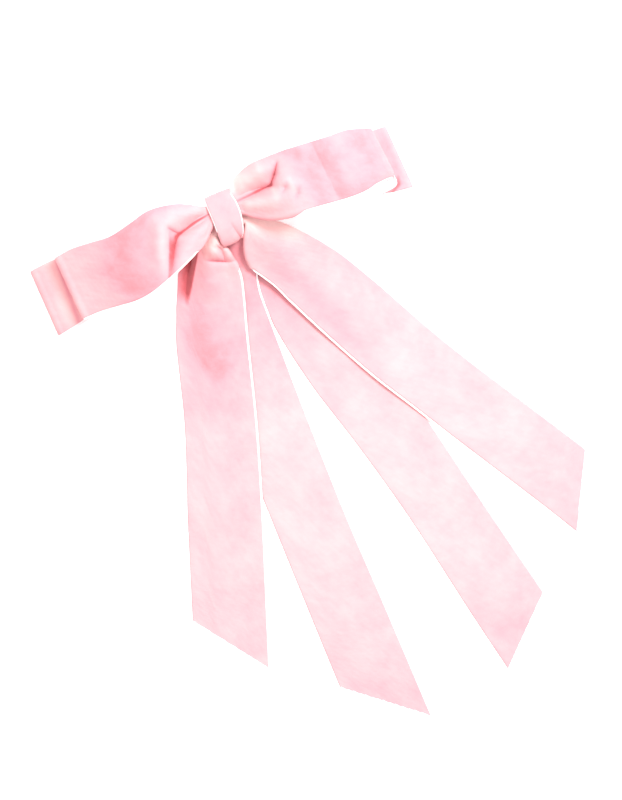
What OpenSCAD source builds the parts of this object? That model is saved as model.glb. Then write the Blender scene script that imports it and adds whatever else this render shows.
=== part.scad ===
// Velvet ribbon bow on a French spring clip, lying on its back.
// Millimetres. +Z is up, the clip runs along X, the tails fall towards -Y.
// The origin is the middle of the gap where the clip grips the hair.
// Heights in this file are measured from the surface that the barrette lies on.

/* [Ribbon] */
// Thickness of the velvet ribbon with its pile
ribbon_t = 1; // [0.9:0.02:1.04]
// Reach of the upper loop to the left of the knot
upper_left_reach = 85.2; // [80:0.2:90]
// Reach of the upper loop to the right of the knot
upper_right_reach = 82.6; // [78:0.2:84]
// Reach of the lower loop to the left of the knot
lower_left_reach = 99; // [94:0.5:102]
// Reach of the lower loop to the right of the knot
lower_right_reach = 89; // [86:0.5:94]
// Opening of a lower loop between its two plies
lower_loop_open = 7.6; // [6:0.1:8]
// Opening of an upper loop between its two plies
upper_loop_open = 8; // [7:0.1:10]

/* [Tails] */
// Distance from the knot at which a tail lies flat
tail_landing = 44; // [42:1:46]

/* [Knot] */
// Width of the narrow ribbon wrapped round the middle
wrap_w = 15; // [13:0.5:16]
// Thickness of the wrapping ribbon
wrap_t = 0.9; // [0.7:0.05:0.9]
// Diameter of the gathering thread
thread_d = 0.5; // [0.4:0.05:0.5]
// Number of turns of gathering thread
thread_turns = 6; // [4:1:8]

/* [Clip] */
// Length of the clip's top plate
plate_l = 80; // [80:0.5:82]
// Width of the top plate
plate_w = 9; // [8.6:0.1:9.4]
// Thickness of the top plate
plate_t = 0.8; // [0.7:0.05:0.8]
// Height of the arch of the top plate
plate_rise = 4; // [3.9:0.05:4.1]
// Height of the underside of the plate in the middle
plate_h = 14.2; // [14.2:0.05:14.4]
// Thickness of the bracket and clasp sheet
sheet_t = 0.6; // [0.5:0.05:0.6]
// Thickness of the tension spring
spring_t = 0.35; // [0.3:0.05:0.35]
// Width of the tension spring
spring_w = 4.6; // [4:0.1:5]

/* [Clasp arm] */
// Width of the arm
arm_w = 5.6; // [5:0.1:5.8]
// Thickness of the arm
arm_t = 0.8; // [0.7:0.05:0.8]
// Height of the arch of the arm
arm_rise = 3.1; // [3:0.05:3.2]
// Radius of the hinge pin
pin_r = 0.75; // [0.7:0.01:0.78]
// Clearance between the hinge pin and the arm's eye
pin_gap = 0.05; // [0.03:0.01:0.08]

/* [Hidden] */

// Height of the middle of the hair gap, which is the origin
grip_h = 7.55;
// Gap left between pieces that only touch
touch = 0.02;
// Gap left between layers of ribbon
layer_gap = 0.1;
layer = ribbon_t + layer_gap;

// Radius of the underside of the arched top plate
plate_r = (pow(plate_l / 2, 2) + pow(plate_rise, 2)) / (2 * plate_rise);
// Felt between the plate and the bow
felt_t = 1;
felt_l = 58;
felt_w = 12;
felt_top = plate_h + plate_t + touch + felt_t;

// Heights of the undersides of the four tails, and of the loops, inside the knot
stack_base = felt_top + thread_d + 2 * layer_gap;
lower_knot_h = stack_base + 4 * layer + ribbon_t / 2 + layer_gap;

// Arm, hinge and clasp
arm_reach = 37;
arm_under_r = (pow(arm_reach, 2) + pow(arm_rise, 2)) / (2 * arm_rise);
arm_mid_h = 4.6;
pin_x = -38;
pin_h = 2.2;
eye_r = pin_r + 0.75;
ear_gap = 6.8;
bracket_l = 8.5;
bracket_end = plate_l / 2 - 0.2;
bracket_start = bracket_end - bracket_l;
shelf_h = 9.35;
shelf_l = 2;
spring_mid_h = 9.7;
spring_rise = 0.35;
spring_reach = 33;
prong_x0 = 34;
prong_x1 = 37.8;
prong_y = 2.4;
// Gap between a prong's root and the web, round which it flexes
prong_gap = 0.1;
prong_tip = 0.5;
barb = 0.4;
window_x0 = 31.5;
window_x1 = 38.4;
window_w = 6.6;
rail_w = 1.3;
// Height of the arm's underside where its lip starts to curl down to the table
lip_h = arm_mid_h - arm_under_r + sqrt(pow(arm_under_r, 2) - pow(window_x1 + 0.8, 2));
rivet_x = 35.6;
rivet_r = 1;
rivet_head_r = 1.7;

// ---------------------------------------------------------------- helpers

// Smooth curve through a list of points
function spline(p, n = 6) = [
    for (i = [0 : len(p) - 2])
        for (k = [0 : n - 1])
            let (t = k / n, a = p[max(i - 1, 0)], b = p[i], c = p[i + 1], d = p[min(i + 2, len(p) - 1)])
                0.5 * (2 * b + (c - a) * t + (2 * a - 5 * b + 4 * c - d) * t * t
                       + (3 * b - a - 3 * c + d) * t * t * t),
    p[len(p) - 1]
];

function reversed(p) = [for (i = [len(p) - 1 : -1 : 0]) p[i]];

// Smooth step from 0 to 1 as t goes from 0 to 1
function ease(t) = let (u = min(max(t, 0), 1)) u * u * (3 - 2 * u);

// Unit normal to an open path at point i
function normal_at(p, i) =
    let (d = p[min(i + 1, len(p) - 1)] - p[max(i - 1, 0)]) [-d[1], d[0]] / norm(d);

// Outline of a strip that follows an open path, with a half-width for each point
function strip(p, half) = concat(
    [for (i = [0 : len(p) - 1]) p[i] + normal_at(p, i) * half[i]],
    reversed([for (i = [0 : len(p) - 1]) p[i] - normal_at(p, i) * half[i]])
);

function even(p, t) = [for (i = [0 : len(p) - 1]) t / 2];

// Puts a shape whose heights are measured from the table into the object's frame
module from_table() {
    translate([0, 0, -grip_h]) children();
}

// Extrudes an XZ drawing along Y
module across(w) {
    rotate([90, 0, 0]) linear_extrude(height = w, center = true) children();
}

// Extrudes a YZ drawing along X
module along(w) {
    rotate([90, 0, 90]) linear_extrude(height = w, center = true) children();
}

// XZ drawing of an arched strip, given the height of its underside in the middle
module arch(under_h, r, t, x0, x1) {
    translate([0, under_h - r])
        intersection() {
            difference() {
                circle(r = r + t, $fn = 360);
                circle(r = r, $fn = 360);
            }
            translate([x0, 0]) square([x1 - x0, r + t + 1]);
        }
}

// Stands children on the arched plate at x: their local z = 0 is the plate's underside
module on_plate(x) {
    translate([0, 0, plate_h - plate_r])
        rotate([0, asin(x / plate_r), 0])
            translate([0, 0, plate_r]) children();
}

// ---------------------------------------------------------------- bow loops

// Height of the middle of each ply at a distance u from the knot
droop = lower_knot_h - 1.2;
// Air between the upper loops and the lower ones, away from the knot
loop_rest_gap = 0.4;
function lower_bottom(u) = lower_knot_h - droop * (1 - cos(max(u - 8, 0)));
function lower_top(u) = lower_bottom(u) + layer + (lower_loop_open - layer) * ease((u - 8) / 34);
function upper_bottom(u) = lower_top(u) + layer + loop_rest_gap * ease((u - 20) / 40);
function upper_top(u) = upper_bottom(u) + layer + (upper_loop_open - layer) * ease((u - 8) / 30);

// Distances from the knot at which a loop's side view is drawn
near_stations = [0.3, 5, 8, 10, 13, 17, 22, 28, 34, 42, 50, 58, 66];
function stations(reach) = concat(near_stations, [reach - 11, reach - 7.5, reach - 5.5]);

// Points from the knot out along the bottom ply, round the fold and back along the top ply
function lower_side(reach) = concat(
    [for (u = stations(reach)) [u, lower_bottom(u)]],
    fold(reach, lower_bottom(reach - 4), lower_top(reach - 4)),
    [for (u = reversed(stations(reach))) [u, lower_top(u)]]
);
function upper_side(reach) = concat(
    [for (u = stations(reach)) [u, upper_bottom(u)]],
    fold(reach, upper_bottom(reach - 4), upper_top(reach - 4)),
    [for (u = reversed(stations(reach))) [u, upper_top(u)]]
);

// The fold at the end of a loop
function fold(reach, h0, h1) = [
    [reach - 4, h0], [reach - 1.2, h0 + 0.22 * (h1 - h0)], [reach - 0.5, (h0 + h1) / 2 - 0.3],
    [reach - 1.2, h0 + 0.74 * (h1 - h0)], [reach - 4, h1]
];

function to_left(p) = [for (q = reversed(p)) [-q[0], q[1]]];

// A ribbon that goes from the knot to the right, back over the knot, to the left and back
module bow_ribbon(right, left, plan_top, plan_bottom) {
    path = spline(concat(right, to_left(left)), 2);
    from_table() intersection() {
        across(80) polygon(strip(path, even(path, ribbon_t)));
        linear_extrude(height = 50) polygon(concat(spline(plan_top, 4), reversed(spline(plan_bottom, 4))));
    }
}

module upper_bow_ribbon() {
    top = [[-90, 12], [-75, 13], [-56, 11], [-35, 15], [-22, 13], [-12, 7.6], [-7.6, 5], [0, 4.5],
           [7.6, 5.2], [11, 10], [20, 17], [35, 18], [58, 16.4], [70, 16.4], [88, 10]];
    bottom = [[-90, -23], [-75, -23.4], [-57, -26], [-36, -21.6], [-20, -14.2], [-12, -7.6], [-7.6, -3.6],
              [0, -3], [7.6, -3.6], [18, -11.5], [30, -15], [48, -17.4], [64, -20], [88, -22.4]];
    color("lightpink") bow_ribbon(upper_side(upper_right_reach), upper_side(upper_left_reach), top, bottom);
}

module lower_bow_ribbon() {
    top = [[-104, 10.8], [-88, 12], [-60, 10.5], [-36, 12], [-20, 10], [-12, 6.8], [-7.6, 5.2], [0, 5],
           [7.6, 5.2], [12, 7.8], [20, 12.5], [40, 15], [66, 13.6], [94, 12]];
    bottom = [[-104, -26.4], [-85, -25], [-60, -25.4], [-36, -19.6], [-20, -12.4], [-9, -5.4], [0, -5],
              [9, -5], [20, -11], [40, -16], [66, -21], [94, -24.4]];
    color("pink") bow_ribbon(lower_side(lower_right_reach), lower_side(lower_left_reach), top, bottom);
}

// ---------------------------------------------------------------- tails

// Height of a tail's underside at y: held in the knot, falling, then flat
function tail_h(y, knot_h, flat_h) = flat_h + (knot_h - flat_h) * (1 - ease((-9 - y) / (tail_landing - 9)));

// Side view of a tail along Y, from its head to past its tip
module tail_side(knot_h, rest, rest_end, tip_y) {
    ys = concat([0], [for (y = [-9 : -2.5 : -tail_landing]) y], [-tail_landing - 4, rest, rest_end, tip_y]);
    flat = [for (y = ys) y > rest_end ? layer_of(knot_h, y, rest, rest_end) : 0];
    under = [for (i = [0 : len(ys) - 1]) [ys[i], tail_h(ys[i], knot_h, flat[i])]];
    over = [for (p = under) p + [0, ribbon_t]];
    along(280) polygon(concat(under, reversed(over)));
}

// Height at which a tail lies over what is under it, falling to the table between rest and rest_end
function layer_of(knot_h, y, rest, rest_end) =
    (knot_h - stack_base) / layer < 0.5 ? 0 :
    (knot_h - stack_base) / layer < 1.5 ? layer * (1 - ease((rest - y) / (rest - rest_end))) :
    2 * layer * (1 - ease((rest - y) / (rest - rest_end)));

// Room for the wrap's near side, which every tail goes round as it leaves the knot
wrap_room = [wrap_w / 2 + 0.2, -16.2, -8.8];

// One tail between its left and right edges in plan.
// cut is [point on the cut line, direction of the cut line in degrees]
module tail(level, left, right, rest, rest_end, cut) {
    from_table() difference() {
        intersection() {
            tail_side(stack_base + level * layer, rest, rest_end, left[len(left) - 1][1] - 30);
            linear_extrude(height = 60) polygon(concat(spline(left, 4), reversed(spline(right, 4))));
        }
        translate([cut[0][0], cut[0][1], -1]) rotate([0, 0, cut[1]])
            translate([-60, -80, 0]) cube([120, 80, 60]);
        translate([-wrap_room[0], wrap_room[1], -1])
            cube([2 * wrap_room[0], wrap_room[2] - wrap_room[1], 60]);
    }
}

module front_left_tail() {
    left = [[-2, 1], [-8, -1], [-14, -6], [-22, -13], [-30, -20], [-36, -28], [-42, -38], [-48.6, -53],
            [-59.4, -88.5], [-75.3, -132], [-90, -174], [-102, -208]];
    right = [[-1, -8.7], [-3.6, -13], [-5.2, -17.5], [-5.4, -22.5], [-4.4, -31], [-6.8, -44], [-12.2, -62],
             [-24, -103], [-38.4, -146.5], [-53, -188], [-65, -222]];
    color("pink") tail(2, left, right, -147, -172, [[-77, -197.2], -53.9]);
}

module front_right_tail() {
    left = [[1, -8.7], [2.4, -14], [1, -22], [0.9, -31], [6, -40.5], [12.2, -53.5], [23.6, -78],
            [36, -101.5], [49.3, -123.5], [60.6, -143], [80.5, -176.5], [92, -196], [105, -219]];
    right = [[2, 1], [8, -1], [12.6, -7.5], [19, -14.5], [27, -19], [34, -24.5], [40, -31], [46.8, -40.5],
             [57.7, -60.5], [71.2, -86], [83.8, -108.9], [95.2, -128], [113.2, -158], [124.7, -177.5],
             [138, -201]];
    color("pink") tail(3, left, right, -140, -164, [[111.2, -189.8], 61.7]);
}

module back_left_tail() {
    left = [[-2, 1], [-8, -1.5], [-14, -7], [-22, -16], [-29, -27], [-34.5, -40], [-37, -55], [-37.2, -110],
            [-37.2, -160], [-37, -215], [-36.4, -290]];
    right = [[-1, -8.7], [1.5, -14], [2, -20], [1, -34], [0.8, -55], [0.7, -110], [0.6, -160], [1.8, -215],
             [3, -290]];
    color("lightpink") tail(1, left, right, -66, -92, [[-17.2, -251.2], -39.5]);
}

module back_right_tail() {
    left = [[1, -8.7], [-1, -14], [-1.5, -20], [-1, -36], [0.2, -62], [6.2, -95.4], [16.5, -132.5],
            [26.7, -175.4], [37, -229.4], [45, -268]];
    right = [[2, 1], [8, -1.5], [14, -7], [22, -17], [30, -28], [35, -40], [37.5, -54], [42.6, -85.7],
             [53.8, -124], [62.9, -167], [74.7, -222], [83, -260]];
    color("lightpink") tail(0, left, right, -66, -92, [[60.8, -244.5], 44.2]);
}

// ---------------------------------------------------------------- knot

// Closed path round the gathered ribbons, felt and plate, seen along X
wrap_line = [[0, 13.45], [-5.2, 13.5], [-9.5, 14.6], [-13.4, 16.6], [-14.6, 19.4], [-12.8, 23], [-8.2, 26],
             [-3.4, 27.1], [0, 27.3], [3.4, 27.15], [6.4, 26.1], [8.5, 23.6], [8.9, 20.6], [8.2, 16.8],
             [5.4, 13.8]];
// Closed path of the gathering thread, inside the wrap and above the felt
thread_line = [[0, 16.36], [-9, 16.36], [-12.6, 17.2], [-13.3, 19.6], [-11.4, 22.5], [-7.2, 25.3],
               [-3.8, 26.15], [0, 26.25], [3.4, 26.15], [5.9, 25.4], [7.5, 23.2], [7.9, 20.4],
               [6.9, 17.4], [5, 16.36]];

function closed_spline(p, n = 5) = let (m = len(p)) [
    for (i = [0 : m - 1])
        for (k = [0 : n - 1])
            let (t = k / n, a = p[(i + m - 1) % m], b = p[i], c = p[(i + 1) % m], d = p[(i + 2) % m])
                0.5 * (2 * b + (c - a) * t + (2 * a - 5 * b + 4 * c - d) * t * t
                       + (3 * b - a - 3 * c + d) * t * t * t)
];

// Closed path moved outwards by d along its own normals
function grown(p, d) = let (m = len(p)) [
    for (i = [0 : m - 1])
        let (e = p[(i + 1) % m] - p[(i + m - 1) % m]) p[i] + [e[1], -e[0]] / norm(e) * -d
];

// Ring drawing of thickness t on a closed path
module ring_on(line, t) {
    p = closed_spline(line);
    difference() {
        polygon(grown(p, t / 2));
        polygon(grown(p, -t / 2));
    }
}

module centre_wrap() {
    color("lightpink") from_table() along(wrap_w) ring_on(wrap_line, wrap_t);
}

module gather_thread() {
    color("white") from_table()
        for (i = [0 : thread_turns - 1])
            translate([(i - (thread_turns - 1) / 2) * thread_d * 1.3, 0, 0])
                along(thread_d) ring_on(thread_line, thread_d);
}

// Small slanted stitches that close the wrap under the plate
module wrap_stitches() {
    color("white") from_table()
        for (x = [-5.6 : 2.24 : 5.6])
            translate([x, 0, 13 - thread_d / 2 - touch]) rotate([0, 0, 35]) rotate([90, 0, 0])
                cylinder(h = 3, d = thread_d - 0.1, center = true, $fn = 16);
}

module felt_backing() {
    color("mistyrose") from_table() intersection() {
        across(felt_w)
            arch(plate_h + plate_t + touch, plate_r + plate_t + touch, felt_t, -felt_l / 2, felt_l / 2);
        linear_extrude(height = 40) union() {
            square([felt_l - felt_w, felt_w], center = true);
            for (side = [-1, 1])
                translate([side * (felt_l - felt_w) / 2, 0]) circle(d = felt_w, $fn = 64);
        }
    }
}

// ---------------------------------------------------------------- clip

module top_plate() {
    sew_hole_x = 24;
    color("silver") from_table() difference() {
        intersection() {
            across(plate_w) arch(plate_h, plate_r, plate_t, -plate_l / 2, plate_l / 2);
            linear_extrude(height = 40) union() {
                square([plate_l - plate_w, plate_w], center = true);
                for (side = [-1, 1])
                    translate([side * (plate_l - plate_w) / 2, 0]) circle(d = plate_w, $fn = 64);
            }
        }
        for (side = [-1, 1]) {
            on_plate(side * rivet_x) cylinder(h = 4, r = rivet_r, center = true, $fn = 32);
            on_plate(side * sew_hole_x) cylinder(h = 4, r = 0.9, center = true, $fn = 32);
        }
    }
}

module hinge_bracket() {
    color("gainsboro") from_table() {
        difference() {
            union() {
                web_and_shelf(-1);
                for (y = [-1, 1])
                    translate([0, y * (ear_gap + sheet_t) / 2, 0]) across(sheet_t) hinge_ear();
            }
            translate([pin_x, 0, pin_h]) rotate([90, 0, 0])
                cylinder(h = 20, r = pin_r, center = true, $fn = 32);
        }
    }
}

// Side view of an ear, from the web down round the pin
module hinge_ear() {
    translate([pin_x, pin_h]) circle(r = pin_h, $fn = 48);
    polygon([[pin_x - 1.85, pin_h + 1.2], [-bracket_end + 0.2, 9.9], [-bracket_end + bracket_l / 2, 10.8],
             [-bracket_start, 11.4], [-bracket_start, shelf_h], [-bracket_start - 2.6, shelf_h - 1],
             [pin_x + 1.95, pin_h + 1]]);
}

// The web, its rivet hole and the spring's shelf
module web_and_shelf(side) {
    x0 = side > 0 ? bracket_start : -bracket_end;
    shelf_x = side > 0 ? bracket_start : -bracket_start - shelf_l;
    difference() {
        across(ear_gap + 2 * sheet_t)
            arch(plate_h - touch - sheet_t, plate_r - touch - sheet_t, sheet_t, x0, x0 + bracket_l);
        on_plate(side * rivet_x) cylinder(h = 4, r = rivet_r, center = true, $fn = 32);
    }
    translate([shelf_x, -ear_gap / 2 - sheet_t / 2, shelf_h]) cube([shelf_l, ear_gap + sheet_t, sheet_t]);
}

module hinge_pin() {
    pin_l = ear_gap + 2 * sheet_t;
    color("silver") from_table() translate([pin_x, 0, pin_h]) rotate([90, 0, 0]) {
        cylinder(h = pin_l, r = pin_r, center = true, $fn = 32);
        for (side = [-1, 1])
            translate([0, 0, side * (pin_l / 2 + 0.2)])
                cylinder(h = 0.4, r = 1.15, center = true, $fn = 32);
    }
}

// Rivet through the plate and the sheet under it, with a low head on each side
module rivet(x) {
    shank_l = plate_t + sheet_t + touch;
    from_table() on_plate(x) {
        translate([0, 0, -sheet_t - touch]) cylinder(h = shank_l, r = rivet_r, $fn = 32);
        translate([0, 0, plate_t + touch])
            cylinder(h = 0.4, r1 = rivet_head_r, r2 = rivet_head_r - 0.3, $fn = 32);
        translate([0, 0, -sheet_t - 2 * touch - 0.4])
            cylinder(h = 0.4, r1 = rivet_head_r - 0.4, r2 = rivet_head_r, $fn = 32);
    }
}

module hinge_rivet() {
    color("silver") rivet(-rivet_x);
}

module clasp_rivet() {
    color("silver") rivet(rivet_x);
}

module clasp_base() {
    color("gainsboro") from_table() {
        web_and_shelf(1);
        for (y = [-1, 1])
            translate([0, y * (ear_gap + sheet_t) / 2, 0]) across(sheet_t)
                polygon([[bracket_start, 11.4], [bracket_start, shelf_h],
                         [bracket_start + shelf_l, shelf_h], [bracket_start + shelf_l + 0.6, 10.95]]);
    }
}

// Thin strip bowed between the two shelves, which presses on the hair
module tension_spring() {
    spring_r = (pow(spring_reach, 2) + pow(spring_rise, 2)) / (2 * spring_rise);
    color("silver") from_table() across(spring_w)
        translate([0, spring_mid_h + spring_r]) intersection() {
            difference() {
                circle(r = spring_r, $fn = 720);
                circle(r = spring_r - spring_t, $fn = 720);
            }
            translate([-spring_reach, -spring_r - 1]) square([2 * spring_reach, spring_r]);
        }
}

// Eye round the hinge pin, arched bar, window that closes over the prongs, and a lip
module clasp_arm() {
    eye_w = ear_gap - 0.3;
    bar_end = window_x0 - 1.4;
    color("silver") from_table() {
        difference() {
            union() {
                translate([pin_x, 0, pin_h]) rotate([90, 0, 0])
                    cylinder(h = eye_w, r = eye_r, center = true, $fn = 48);
                across(arm_w) arch(arm_mid_h, arm_under_r, arm_t, pin_x, bar_end);
            }
            translate([pin_x, 0, pin_h]) rotate([90, 0, 0])
                cylinder(h = 20, r = pin_r + pin_gap, center = true, $fn = 48);
        }
        difference() {
            across(window_w + 2 * rail_w) arch(arm_mid_h, arm_under_r, arm_t, bar_end, window_x1 + 0.8);
            translate([window_x0, -window_w / 2, -5]) cube([window_x1 - window_x0, window_w, 20]);
        }
        across(arm_w) translate([window_x1 + 0.8, 0]) intersection() {
            difference() {
                circle(r = lip_h + arm_t, $fn = 48);
                circle(r = lip_h, $fn = 48);
            }
            square(4);
        }
    }
}

// Springy tab on one side of the clasp, with a barb under the arm's window
module prong(side) {
    inner = prong_y - sheet_t / 2;
    outer = prong_y + sheet_t / 2;
    from_table() intersection() {
        translate([(prong_x0 + prong_x1) / 2, 0, 0]) along(prong_x1 - prong_x0)
            polygon([for (p = [[inner, plate_h], [outer, plate_h], [outer, 1.45], [outer + barb, 1.25],
                               [outer, prong_tip], [inner, prong_tip]])
                     [side * p[0], p[1]]]);
        across(20) translate([0, plate_h - plate_r])
            circle(r = plate_r - touch - sheet_t - prong_gap, $fn = 360);
    }
}

module clasp_prong_front() {
    color("gainsboro") prong(-1);
}

module clasp_prong_back() {
    color("gainsboro") prong(1);
}

upper_bow_ribbon();
lower_bow_ribbon();
front_left_tail();
front_right_tail();
back_left_tail();
back_right_tail();
centre_wrap();
gather_thread();
wrap_stitches();
felt_backing();
top_plate();
hinge_bracket();
hinge_rivet();
hinge_pin();
clasp_arm();
tension_spring();
clasp_base();
clasp_rivet();
clasp_prong_front();
clasp_prong_back();
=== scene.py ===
"""A velvet ribbon bow on a French spring clip, lying on its back on a pale table.

Lengths in this file are millimetres, with heights measured from the table. They become metres in
the object's own frame when a mesh is made.
"""
import math

import bpy
import numpy as np
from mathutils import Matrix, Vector


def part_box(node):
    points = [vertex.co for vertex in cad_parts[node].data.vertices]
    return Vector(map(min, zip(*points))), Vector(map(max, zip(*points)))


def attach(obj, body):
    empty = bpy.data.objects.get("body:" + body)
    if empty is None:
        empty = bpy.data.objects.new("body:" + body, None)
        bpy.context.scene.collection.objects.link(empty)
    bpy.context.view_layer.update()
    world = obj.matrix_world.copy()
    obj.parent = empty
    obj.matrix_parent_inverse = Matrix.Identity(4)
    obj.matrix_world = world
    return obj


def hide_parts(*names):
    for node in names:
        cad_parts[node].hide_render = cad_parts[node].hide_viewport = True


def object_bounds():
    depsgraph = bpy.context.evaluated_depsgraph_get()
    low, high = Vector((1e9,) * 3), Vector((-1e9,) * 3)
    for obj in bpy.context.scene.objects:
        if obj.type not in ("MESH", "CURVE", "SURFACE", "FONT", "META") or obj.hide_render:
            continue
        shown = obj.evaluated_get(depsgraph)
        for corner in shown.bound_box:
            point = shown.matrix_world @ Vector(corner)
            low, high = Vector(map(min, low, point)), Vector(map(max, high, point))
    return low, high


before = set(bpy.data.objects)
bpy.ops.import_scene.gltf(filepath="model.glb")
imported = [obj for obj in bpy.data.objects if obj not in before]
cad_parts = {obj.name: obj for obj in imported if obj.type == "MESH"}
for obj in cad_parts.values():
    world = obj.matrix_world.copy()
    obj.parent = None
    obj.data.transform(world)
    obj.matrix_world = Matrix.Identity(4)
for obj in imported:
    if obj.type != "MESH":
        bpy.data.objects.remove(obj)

CAD_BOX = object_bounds()
TABLE = CAD_BOX[0].z                    # height of the table in the object's frame, metres
MM = 0.001

# ------------------------------------------------------------------ ribbon sizes

RIBBON_W = 36.6
INSET = 0.7                             # how much narrower each edge is than the outlines below
SELVEDGE = 1.0
PILE_T = 0.6                            # height of the pile
GROUND_T = 0.3                          # thickness of the woven ground
WRAP_W = 14.6
WRAP_SELVEDGE = 0.55
STEP = 0.7                              # distance between rows of a ribbon's mesh


# ------------------------------------------------------------------ curves and reliefs

def ease(t):
    """Smooth step from 0 to 1."""
    u = np.clip(t, 0.0, 1.0)
    return u * u * (3.0 - 2.0 * u)


def spline(points, at):
    """Catmull-Rom curve through points, at parameters from 0 to len(points) - 1."""
    p = np.asarray(points, float)
    at = np.clip(np.asarray(at, float), 0.0, len(p) - 1.0)
    i = np.minimum(at.astype(int), len(p) - 2)
    t = (at - i)[..., None]
    a = p[np.maximum(i - 1, 0)]
    b = p[i]
    c = p[i + 1]
    d = p[np.minimum(i + 2, len(p) - 1)]
    return 0.5 * (2 * b + (c - a) * t + (2 * a - 5 * b + 4 * c - d) * t ** 2
                  + (3 * b - a - 3 * c + d) * t ** 3)


def even_curve(points, step):
    """The same curve as rows about step apart."""
    fine = spline(points, np.linspace(0, len(points) - 1, 40 * len(points)))
    run = np.concatenate([[0.0], np.cumsum(np.linalg.norm(np.diff(fine, axis=0), axis=1))])
    count = max(8, int(round(run[-1] / step)))
    at = np.linspace(0.0, run[-1], count + 1)
    return np.stack([np.interp(at, run, fine[:, k]) for k in range(fine.shape[1])], axis=1)


def edge_at(points, x):
    """Height of a smooth plan edge, given as (x, y) points from left to right, at each x."""
    fine = spline(points, np.linspace(0, len(points) - 1, 12 * len(points)))
    return np.interp(x, fine[:, 0], fine[:, 1])


def along_line(x, y, line):
    """Distance of each point from a polyline, and how far along it the nearest place is, 0 to 1."""
    line = np.asarray(line, float)
    lengths = np.linalg.norm(np.diff(line, axis=0), axis=1)
    starts = np.concatenate([[0.0], np.cumsum(lengths)])
    best = np.full(np.shape(x), 1e9)
    where = np.zeros(np.shape(x))
    for k, length in enumerate(lengths):
        d = (line[k + 1] - line[k]) / length
        t = np.clip((x - line[k, 0]) * d[0] + (y - line[k, 1]) * d[1], 0.0, length)
        away = np.hypot(x - line[k, 0] - t * d[0], y - line[k, 1] - t * d[1])
        nearer = away < best
        best = np.where(nearer, away, best)
        where = np.where(nearer, (starts[k] + t) / starts[-1], where)
    return best, where


def side_of_line(x, y, line):
    """How far each point is to the right of the straight line from a polyline's first point to its last."""
    first, last = np.asarray(line[0], float), np.asarray(line[-1], float)
    d = (last - first) / np.linalg.norm(last - first)
    return (x - first[0]) * d[1] - (y - first[1]) * d[0]


def relief(x, y, features):
    """Ridges and valleys. Each feature is (shape, line, heights along it, widths along it).

    "round" features add up. Of several sharp "cusp" creases the deepest counts. A "brush" feature starts
    suddenly at its line and fades away on the right of it. A "cliff" changes level on the right of its
    line. Right means to the right when walking straight from a line's first point to its last.
    """
    total = np.zeros(np.shape(x))
    creases = np.zeros(np.shape(x))
    for shape, line, heights, widths in features:
        away, where = along_line(x, y, line)
        height = np.interp(where, np.linspace(0, 1, len(heights)), heights)
        width = np.interp(where, np.linspace(0, 1, len(widths)), widths)
        if shape == "round":
            total += height * np.exp(-(away / width) ** 2)
        elif shape == "brush":
            beyond = side_of_line(x, y, line)
            total += height * ease(beyond / 0.9 + 0.5) * np.exp(-(np.maximum(beyond, 0) / width) ** 2)
        elif shape == "cliff":
            total += height * ease(side_of_line(x, y, line) / width)
        else:
            creases = np.minimum(creases, height * np.exp(-(np.hypot(away, 0.5) - 0.5) / width))
    return total + creases


def wander(x, y, scale, seed):
    """Gentle wandering mostly between -1 and 1, the same in every run."""
    rng = np.random.default_rng(seed)
    total = np.zeros(np.broadcast(x, y).shape)
    for _ in range(7):
        a = rng.uniform(0, 2 * math.pi)
        k = rng.uniform(0.6, 1.5) * 2 * math.pi / scale
        total += np.sin(k * (x * math.cos(a) + y * math.sin(a)) + rng.uniform(0, 2 * math.pi))
    return total / 3.5


# ------------------------------------------------------------------ ribbon meshes

def columns(width, selvedge, gap):
    """Places across a ribbon at which its mesh has a column, closer together at the selvedges."""
    side = [0.0, 0.35 * selvedge, 0.72 * selvedge, 0.92 * selvedge, 1.06 * selvedge, 1.25 * selvedge]
    inner = np.linspace(1.55 * selvedge, width - 1.55 * selvedge, int((width - 3.1 * selvedge) / gap))
    return np.concatenate([side, inner, [width - s for s in reversed(side)]])


def across_share(a, width, plan_width, selvedge):
    """Where each column lies between the two edges, keeping the selvedges at their own width."""
    a = a[None, :]
    w = np.asarray(plan_width, float)[:, None]
    rim = np.minimum(selvedge, 0.22 * w)
    share = (w - 2 * rim) / (width - 2 * selvedge)
    y = np.where(a < selvedge, a * rim / selvedge,
                 np.where(a > width - selvedge, w - (width - a) * rim / selvedge,
                          rim + (a - selvedge) * share))
    return y / w


def grid_normals(g):
    along = np.gradient(g, axis=0)
    across = np.gradient(g, axis=1)
    n = np.cross(along, across)
    return n / np.maximum(np.linalg.norm(n, axis=2, keepdims=True), 1e-9)


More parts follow.
